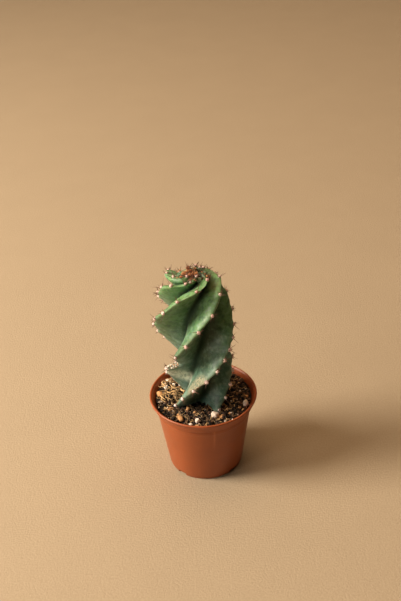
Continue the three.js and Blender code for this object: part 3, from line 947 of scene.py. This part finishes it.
def make_soil():
    turns = np.arange(SOIL_SIDES) / SOIL_SIDES * math.tau
    bottom = FOOT_LIFT + WALL + FIT_GAP
    rings = []

    def ring(radius, height=None):
        x, y = radius * np.cos(turns), radius * np.sin(turns)
        z = soil_top(x, y) if height is None else np.full(SOIL_SIDES, float(height))
        rings.append(np.stack([x, y, z], -1))

    ring(FOOT_RADIUS - WALL + WALL_SLOPE * bottom - FIT_GAP - 1.2, bottom)
    ring(FOOT_RADIUS - WALL + WALL_SLOPE * (bottom + 1) - FIT_GAP, bottom + 1)
    ring(WALL_TOP_RADIUS - WALL - FIT_GAP - 0.15, COLLAR_FOOT - 0.9)
    ring(COLLAR_RADIUS - WALL - FIT_GAP - 0.1, COLLAR_FOOT + 1.2)
    for share in np.linspace(1, 0.02, SOIL_RINGS):
        ring(SOIL_RADIUS * share)
    points = np.concatenate(rings)
    loose = points[:, 2] > SOIL_HEIGHT - 1.5
    rough = 0.55 * cloud(points, 1.6) + 0.35 * cloud(points, 0.6, 4)
    points[:, 2] += np.where(loose, rough, 0)
    points = np.concatenate([points, [[0, 0, bottom], [0, 0, SOIL_HEIGHT]]])
    build("peat", points, ring_faces(len(rings), SOIL_SIDES), soil_material(), "potting_mix")


def scatter(n, seed, inner=0.0):
    """A repeatable place on the mix, outside the given share of its area about the middle."""
    radius = SOIL_RADIUS * math.sqrt(inner + (1 - inner) * draw(seed + n * 1.37))
    turn = math.tau * draw(seed + n * 2.71 + 0.5)
    return radius * math.cos(turn), radius * math.sin(turn)


def in_stem(x, y):
    return math.hypot(x - LEAN_AT_SOIL, y) < STEM_FOOT


def kept_inside(x, y, size):
    pull = min(1, (SOIL_RADIUS + 0.2 - size) / max(math.hypot(x, y), 1e-6))
    return x * pull, y * pull


def add_grain(bag, x, y, size, stretch, rough, seed, tone, sunk=0.2, detail=2, tumbled=True):
    points, faces = lump(size, stretch, rough, seed, detail)
    x, y = kept_inside(x, y, size * max(stretch))
    points = turned(points, seed) if tumbled else points
    bag.add(points + (x, y, float(soil_top(x, y)) + size * (0.5 - sunk)), faces, tone)


def make_crumbs():
    crumbs = Bag()
    for n in range(CRUMBS):
        x, y = scatter(n, 10.1)
        size = 0.36 + 1.25 * draw(n + 0.21) ** 2.3
        stretch = (1, 0.6 + 0.35 * draw(n + 0.31), 0.5 + 0.3 * draw(n + 0.41))
        add_grain(crumbs, x, y, size, stretch, 0.6, n, draw(n + 0.6) ** 4, detail=1)
    dark = toned("peat_crumbs", (0.004, 0.0024, 0.0015), (0.19, 0.085, 0.04), 0.95, 0.5, 0.15)
    crumbs.build("peat_crumbs", dark, "potting_mix", "potting_mix", smooth=False)


# Grains that stand out in the photograph: place, half-width and stretch
PERLITE = (
    (5.4, -16.9, 1.9, (1.05, 0.95, 0.85)),
    (-3.5, -20.4, 1.35, (1, 0.9, 0.9)),
    (21.3, -8.4, 1.55, (0.85, 1.3, 1.25)),
    (-6.8, -21.8, 0.9, (1.2, 0.8, 0.7)),
    (-18.2, 14.2, 1.2, (1, 0.9, 0.9)),
    (-20.2, 10.8, 1.2, (1, 0.8, 0.8)),
    (-18.6, 7.8, 1.2, (1.3, 0.7, 0.8)),
    (-15.0, 9.6, 1, (1, 0.9, 0.8)),
    (-11.4, 9.6, 1.5, (0.8, 1, 1.1)),
    (-22.0, -3.2, 1, (1.3, 0.6, 0.5)),
    (-16.6, 12.6, 0.9, (1, 0.9, 0.8)),
    (-20.8, 3.6, 0.7, (1, 0.9, 0.8)),
    (-17.4, 4.6, 0.6, (1, 0.9, 0.8)),
    (13.5, -14.5, 0.7, (1, 0.9, 0.8)),
    (10.6, -20.6, 0.6, (1.2, 0.9, 0.8)),
    (19.0, 3, 0.6, (1, 0.9, 0.8)),
)

# Chips of bark: place, half-length, width and thickness against the length, and heading
BARK = (
    (8.6, -17.4, 1.5, (1, 0.75, 0.6), 10),
    (11.6, -15.6, 1.9, (1, 0.38, 0.35), 25),
    (-12.0, -17.0, 2.7, (1, 0.52, 0.4), 100),
    (-13.2, -13.6, 1.2, (1, 0.6, 0.45), 120),
    (-8.1, -9.6, 1.5, (1, 0.62, 0.5), 80),
    (-22.4, 3, 1.9, (1, 0.75, 0.65), 100),
    (-16.8, -9.4, 1.6, (1, 0.6, 0.5), 10),
    (18.0, -10.5, 1.1, (1, 0.7, 0.5), 60),
    (22.0, -1.5, 1, (1, 0.8, 0.6), 20),
    (-4.5, -13.0, 0.9, (1, 0.7, 0.5), 40),
)


def make_perlite():
    white = Bag()
    for n, (x, y, size, stretch) in enumerate(PERLITE):
        tone = 0.4 + 0.3 * draw(n) + 0.5 * (x < -10)
        add_grain(white, x, y, size, stretch, 0.36, 50 + n, tone, -0.1, 3, tumbled=False)
    for n in range(GRITS):
        x, y = scatter(n, 33.3, 0.12)
        size = 0.2 + 0.36 * draw(n + 0.1) ** 2
        if not in_stem(x, y):
            add_grain(white, x, y, size, (1, 0.9, 0.8), 0.35, 90 + n, draw(n + 0.9), -0.3)
    finish = toned("perlite", (0.44, 0.33, 0.26), (0.95, 0.85, 0.76), 0.85, 0.8, 0.2)
    white.build("perlite", finish, "potting_mix", "potting_mix")


def add_chip(bag, x, y, size, stretch, heading, seed, tone):
    """A chip of bark: a rounded block with uneven faces, lying at a slight lean."""
    points, faces = lump(1, (1, 1, 1), 0.15, seed)
    points = np.sign(points) * np.abs(points) ** 0.6
    points = points * stretch * size * (1 + 0.15 * cloud(points, 0.7, seed)[:, None])
    turn = Matrix.Rotation(math.radians(heading), 3, "Z") @ Matrix.Rotation((draw(seed) - 0.5) * 0.7, 3, "Y")
    x, y = kept_inside(x, y, size)
    bag.add(points @ np.array(turn).T + (x, y, float(soil_top(x, y)) + CHIP_LIFT), faces, tone)


def make_bark():
    bark = Bag()
    for n, (x, y, size, stretch, heading) in enumerate(BARK):
        add_chip(bark, x, y, size, stretch, heading, 20 + n, 0.8 + 0.3 * draw(n))
    for n in range(CHIPS):
        x, y = scatter(n, 71.7, 0.08)
        size = 0.5 + 1.1 * draw(n + 0.6) ** 1.5
        stretch = (1.0, 0.3 + 0.3 * draw(n + 0.2), 0.2 + 0.15 * draw(n + 0.4))
        tone = 0.6 * draw(n + 0.8) ** 2.5
        if not in_stem(x, y):
            add_chip(bark, x, y, size, stretch, 360 * draw(n + 0.7), 200 + n, tone)
    finish = toned("bark", (0.035, 0.018, 0.01), (0.62, 0.33, 0.14), 0.8, 0.9, 0.2)
    bark.build("bark", finish, "potting_mix", "potting_mix")


def add_fibre(bag, x, y, length, width, lift, seed, tone):
    turn = math.tau * draw(seed + 0.35)
    direction = np.array([math.cos(turn), math.sin(turn), 0.7 * (draw(seed + 0.55) - 0.4)])
    curl = np.array([-math.sin(turn), math.cos(turn), 0.5 * draw(seed + 0.45)])
    x, y = kept_inside(x, y, length * 0.55)
    t = np.linspace(-0.5, 0.5, 8)
    bend = (draw(seed + 0.75) - 0.5) * 2.4
    wave = (0.25 - t * t) * bend + 0.12 * np.sin(9 * t + 6 * draw(seed + 0.85))
    path = np.outer(t * length, direction) + np.outer(wave * length, curl)
    path += (x, y, float(soil_top(x, y)) + lift)
    path[:, 2] = np.maximum(path[:, 2], SOIL_HEIGHT - 0.6)
    points, faces = tube(path, width * (1 - 2.4 * t * t), 5)
    bag.add(points, faces, tone)


def make_fibres():
    """Straw on the heap at the left, and finer brown fibres everywhere."""
    fibres = Bag()
    for n in range(STRAWS):
        away, turn = 7.5 * math.sqrt(draw(n + 0.11)), math.tau * draw(n + 0.12)
        x, y = HEAP[0] + away * math.cos(turn), HEAP[1] - 1.5 + 1.3 * away * math.sin(turn)
        length = 2.8 + 5.0 * draw(n + 0.15) ** 1.3
        width = 0.19 + 0.22 * draw(n + 0.05) ** 2
        if not in_stem(x, y):
            add_fibre(fibres, x, y, length, width, 0.3 + 1.4 * draw(n + 0.95), n, 0.15 + 1.0 * draw(n + 0.65))
    for n in range(FIBRES):
        x, y = scatter(n, 55.5, 0.08)
        length = 1.8 + 5.0 * draw(n + 0.25) ** 2
        width = 0.09 + 0.22 * draw(n + 0.06) ** 2
        on_heap = math.hypot(x - HEAP[0], y - HEAP[1]) < HEAP_RADIUS
        if not in_stem(x, y) and (n % 4 == 0 or not on_heap):
            tone = 0.12 + 0.95 * draw(n + 0.66) ** 1.8
            add_fibre(fibres, x, y, length, width, 0.25 + 0.8 * draw(n + 0.96), 900 + n, tone)
    finish = toned("fibres", (0.04, 0.019, 0.01), (0.82, 0.54, 0.26), 0.7, 0.8, 0.05)
    fibres.build("fibres", finish, "potting_mix", "potting_mix")


# Pot


def arc(centre, radius, first, last, steps):
    angles = np.radians(np.linspace(first, last, steps))
    return [(centre[0] + radius * math.cos(a), centre[1] + radius * math.sin(a)) for a in angles]


def pot_outline():
    """Half of the pot's section, from the middle of its underside up and over to its floor."""
    floor = FOOT_LIFT + WALL
    outline = [(r, FOOT_LIFT) for r in (6, 11, 15)]
    outline += [(FOOT_RADIUS - 2.4, FOOT_LIFT), (FOOT_RADIUS - 2.15, 0.5)]
    outline += arc((FOOT_RADIUS - 1.7, 0.3), 0.3, 180, 270, 5)
    outline += arc((FOOT_RADIUS - 0.75, 0.6), 0.6, 270, 350, 6)
    outline += [(FOOT_RADIUS + 0.02, FOOT_LIFT - 0.2), (FOOT_RADIUS + 0.26, FOOT_LIFT)]
    for z in np.concatenate([np.linspace(2.4, 31.5, 12), np.linspace(32, COLLAR_FOOT - 0.6, 14)]):
        ridge = RIDGE * math.exp(-(((z - RIDGE_HEIGHT) / 0.4) ** 2))
        recess = 0.3 * float(smoothstep(z, COLLAR_FOOT - 2.0, COLLAR_FOOT - 0.6))
        outline.append((FOOT_RADIUS + WALL_SLOPE * z + ridge - recess, z))
    outline += [(WALL_TOP_RADIUS - 0.32, COLLAR_FOOT - 0.1), (WALL_TOP_RADIUS - 0.1, COLLAR_FOOT + 0.06)]
    outline += arc((COLLAR_RADIUS - 0.28, COLLAR_FOOT + 0.34), 0.28, 275, 350, 5)
    outline += [(COLLAR_RADIUS + 0.1, COLLAR_FOOT + 1.2), (COLLAR_RADIUS + 0.42, COLLAR_FOOT + 2.4)]
    outline += [(COLLAR_RADIUS + 0.85, COLLAR_FOOT + 3.6), (RIM_RADIUS - 0.75, POT_HEIGHT - 1.3)]
    outline += arc((RIM_RADIUS - 0.55, POT_HEIGHT - 0.55), 0.55, -35, 130, 12)
    outline += [(RIM_RADIUS - 1.35, POT_HEIGHT - 0.55), (RIM_RADIUS - 1.7, POT_HEIGHT - 1.2)]
    outline += [(COLLAR_RADIUS - WALL + 0.6, COLLAR_FOOT + 3.0), (COLLAR_RADIUS - WALL, COLLAR_FOOT + 1.2)]
    outline += [(WALL_TOP_RADIUS - WALL, COLLAR_FOOT - 0.8)]
    outline += [(FOOT_RADIUS - WALL + WALL_SLOPE * floor, floor + 0.6), (FOOT_RADIUS - WALL - 0.6, floor)]
    outline += [(12, floor), (6, floor)]
    return outline


def cutters():
    """Blocks for the notches between the feet, and rods for the drain holes."""
    mesh = bmesh.new()
    for angle in NOTCH_ANGLES:
        turn = Matrix.Rotation(math.radians(angle), 4, "Z")
        size = Matrix.Diagonal((2 * NOTCH_DEPTH * MM, NOTCH_WIDTH * MM, 2 * FOOT_LIFT * MM, 1))
        bmesh.ops.create_cube(mesh, size=1, matrix=turn @ Matrix.Translation((FOOT_RADIUS * MM, 0, 0)) @ size)
        between = Matrix.Rotation(math.radians(angle + 45), 4, "Z")
        add_rod(mesh, between @ Matrix.Translation((DRAIN_CIRCLE * MM, 0, FOOT_LIFT * MM)))
    add_rod(mesh, Matrix.Translation((0, 0, FOOT_LIFT * MM)))
    data = bpy.data.meshes.new("pot_cutters")
    mesh.to_mesh(data)
    mesh.free()
    return placed("pot_cutters", data)


def add_rod(mesh, place):
    radius = DRAIN_RADIUS * MM
    bmesh.ops.create_cone(
        mesh, cap_ends=True, segments=48, radius1=radius, radius2=radius, depth=6 * WALL * MM, matrix=place
    )


def make_pot():
    outline = pot_outline()
    turns = np.arange(POT_SIDES) / POT_SIDES * math.tau
    points = [(r * math.cos(t), r * math.sin(t), z) for r, z in outline for t in turns]
    points += [(0, 0, outline[0][1]), (0, 0, outline[-1][1])]
    pot = build("pot_shell", points, ring_faces(len(outline), POT_SIDES), pot_plastic(), "pot")
    tool = cutters()
    cut = pot.modifiers.new("notches", "BOOLEAN")
    cut.operation, cut.solver, cut.object = "DIFFERENCE", "EXACT", tool
    bpy.context.view_layer.update()
    shaped = bpy.data.meshes.new_from_object(pot.evaluated_get(bpy.context.evaluated_depsgraph_get()))
    pot.modifiers.clear()
    pot.data = shaped
    bpy.data.objects.remove(tool)
    shaped.polygons.foreach_set("use_smooth", [True] * len(shaped.polygons))
    shaped.set_sharp_from_angle(angle=math.radians(SHARP_ANGLE))
    place = np.array([v.co for v in shaped.vertices]) / MM
    angle = np.degrees(np.arctan2(place[:, 1], place[:, 0]))
    outside = np.hypot(place[:, 0], place[:, 1]) > FOOT_RADIUS - 0.6 + WALL_SLOPE * place[:, 2]
    seam = np.exp(-(((angle - SEAM_ANGLE) / 1.3) ** 2)) * outside * (place[:, 2] < 36)
    set_values(pot, "seam", seam * smoothstep(place[:, 2], 20, 30))
    set_values(pot, "inside", ~outside)
    # Painted shadow just under the collar's step, on the outside
    step = place[:, 2] - COLLAR_FOOT
    set_values(pot, "painted_collar_shadow", np.exp(-(((step + 0.3) / 0.45) ** 2)) * outside)


# Room


def make_floor():
    corners = FLOOR_REACH * np.array(((-1, -1, 0), (1, -1, 0), (1, 1, 0), (-1, 1, 0)))
    mesh = bpy.data.meshes.new("floor")
    mesh.from_pydata((corners * MM).tolist(), [], [(0, 1, 2, 3)])
    floor = placed("floor", mesh)
    mesh.materials.append(floor_material())


def make_camera():
    camera = placed("camera", bpy.data.cameras.new("camera"))
    camera.data.sensor_width = SENSOR
    camera.data.lens = FOCAL_PIXELS * SENSOR / LONG_SIDE_PIXELS
    camera.data.clip_start, camera.data.clip_end = 0.01, 20
    tilt = Matrix.Rotation(math.radians(90 - CAMERA_PITCH), 4, "X")
    roll = Matrix.Rotation(math.radians(CAMERA_ROLL), 4, "Z")
    camera.matrix_world = Matrix.Translation(Vector(CAMERA_PLACE) * MM) @ tilt @ roll
    bpy.context.scene.camera = camera


def add_light(name, place, size, power, colour):
    light = bpy.data.lights.new(name, "AREA")
    light.shape, light.size, light.energy, light.color = "DISK", size * MM, power, colour
    obj = placed(name, light)
    obj.location = Vector(place) * MM
    obj.rotation_mode = "QUATERNION"
    aim = Vector((0, 0, LIGHTS_AIM * MM)) - obj.location
    obj.rotation_quaternion = aim.to_track_quat("-Z", "Y")


def make_lights():
    """A warm key from the left, a weak one from the front, and a wide soft light overhead."""
    add_light("key", (-1010, -90, 740), 560, 29.5, (1.0, 0.86, 0.69))
    add_light("front", (-860, -610, 320), 320, 3.0, (1.0, 0.89, 0.75))
    add_light("ceiling", (-50, 350, 1500), 1600, 15, (1.0, 0.64, 0.36))
    world = bpy.data.worlds.new("studio")
    world.use_nodes = True
    sky = world.node_tree.nodes["Background"]
    sky.inputs["Color"].default_value = (*SKY_COLOUR, 1)
    sky.inputs["Strength"].default_value = SKY_STRENGTH
    bpy.context.scene.world = world
    bpy.context.scene.view_settings.view_transform = "Standard"


old_places = areoles()
young_places = young_areoles(old_places)
skin, outward, ledge = make_stem(old_places, young_places)
make_areoles(old_places, young_places)
make_scales(skin, outward, ledge)
make_soil()
make_crumbs()
make_perlite()
make_bark()
make_fibres()
make_pot()
make_floor()
make_camera()
make_lights()
